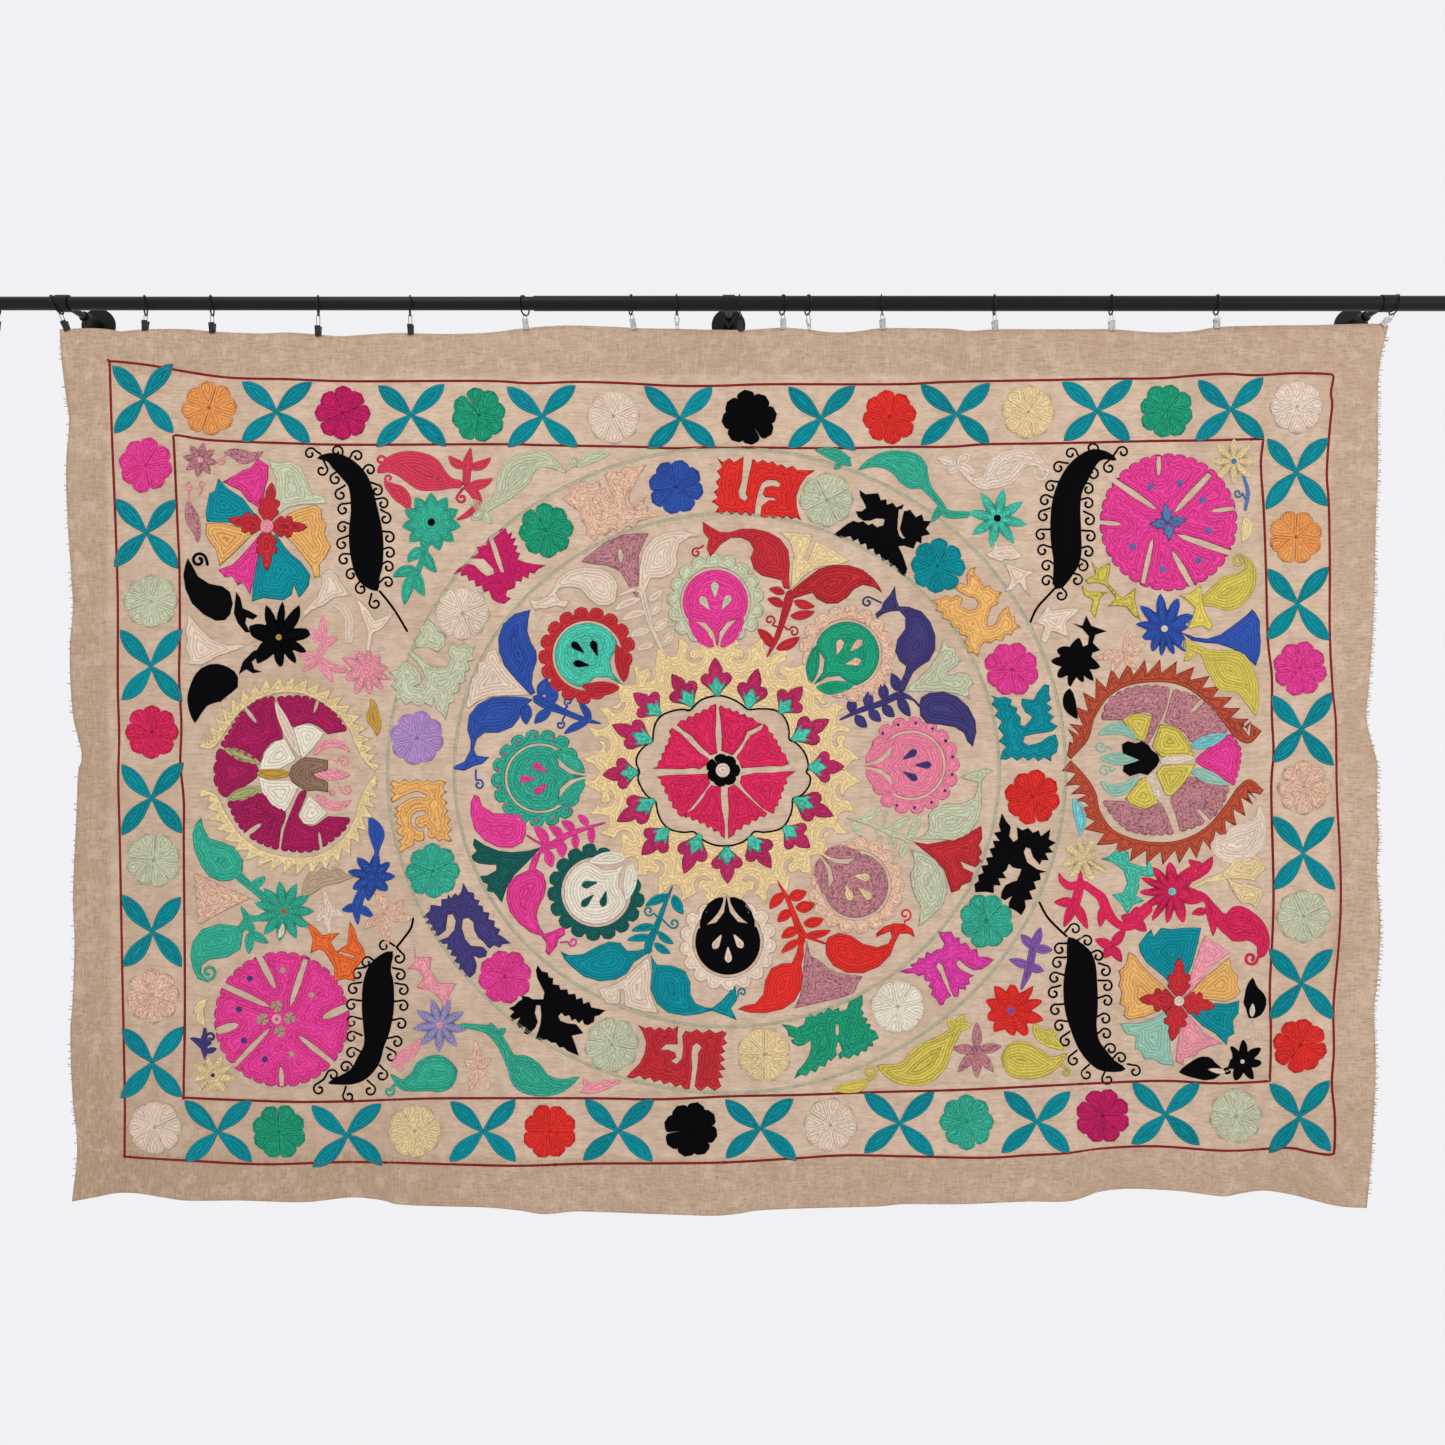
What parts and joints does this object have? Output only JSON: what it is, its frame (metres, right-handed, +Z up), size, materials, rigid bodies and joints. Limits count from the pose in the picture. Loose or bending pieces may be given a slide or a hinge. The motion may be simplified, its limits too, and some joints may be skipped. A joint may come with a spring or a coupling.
{
  "type": "suzani embroidered textile on a curtain rod",
  "caption": "Large suzani, embroidered linen with a crimson medallion, hung by clip rings from a black curtain rod on three wall brackets.",
  "frame": {"origin": "centre of the middle wall plate's back face, level with the rod's axis", "axes": "+X along the rod to the right as seen from the front, -Y out of the wall towards the viewer, +Z up"},
  "size_m": [2.9266, 0.145, 1.7615],
  "materials": {
    "linen": "woven",
    "stitching": "silk chain stitch",
    "black_paint": "satin",
    "ring_wire": "satin",
    "dark_clip": "satin",
    "steel_clip": "dull"
  },
  "bodies": {
    "root": {"cloth": "linen", "rod_thick_tube": "black_paint", "rod_thin_tube": "black_paint", "rod_cap_left": "black_paint", "rod_cap_right": "black_paint", "bracket_left_plate": "black_paint", "bracket_left_sleeve": "black_paint", "bracket_left_holder": "black_paint", "bracket_left_screw": "black_paint", "bracket_centre_plate": "black_paint", "bracket_centre_sleeve": "black_paint", "bracket_centre_holder": "black_paint", "bracket_centre_screw": "black_paint", "bracket_right_plate": "black_paint", "bracket_right_sleeve": "black_paint", "bracket_right_holder": "black_paint", "bracket_right_screw": "black_paint", "ring_01": "ring_wire", "ring_02": "ring_wire", "ring_03": "ring_wire", "ring_04": "ring_wire", "ring_05": "ring_wire", "ring_06": "ring_wire", "ring_07": "ring_wire", "ring_08": "ring_wire", "ring_09": "ring_wire", "ring_10": "ring_wire", "ring_11": "ring_wire", "ring_12": "ring_wire", "ring_13": "ring_wire", "ring_14": "ring_wire", "ring_15": "ring_wire", "ring_16": "ring_wire", "ring_17": "ring_wire", "clip_01": "dark_clip", "clip_02": "dark_clip", "clip_03": "dark_clip", "clip_04": "dark_clip", "clip_05": "dark_clip", "clip_06": "dark_clip", "clip_07": "steel_clip", "clip_08": "steel_clip", "clip_09": "steel_clip", "clip_10": "dark_clip", "clip_11": "steel_clip", "clip_12": "steel_clip", "clip_13": "steel_clip", "clip_14": "steel_clip", "clip_15": "steel_clip", "clip_16": "steel_clip", "clip_17": "steel_clip"}
  },
  "joints": []
}
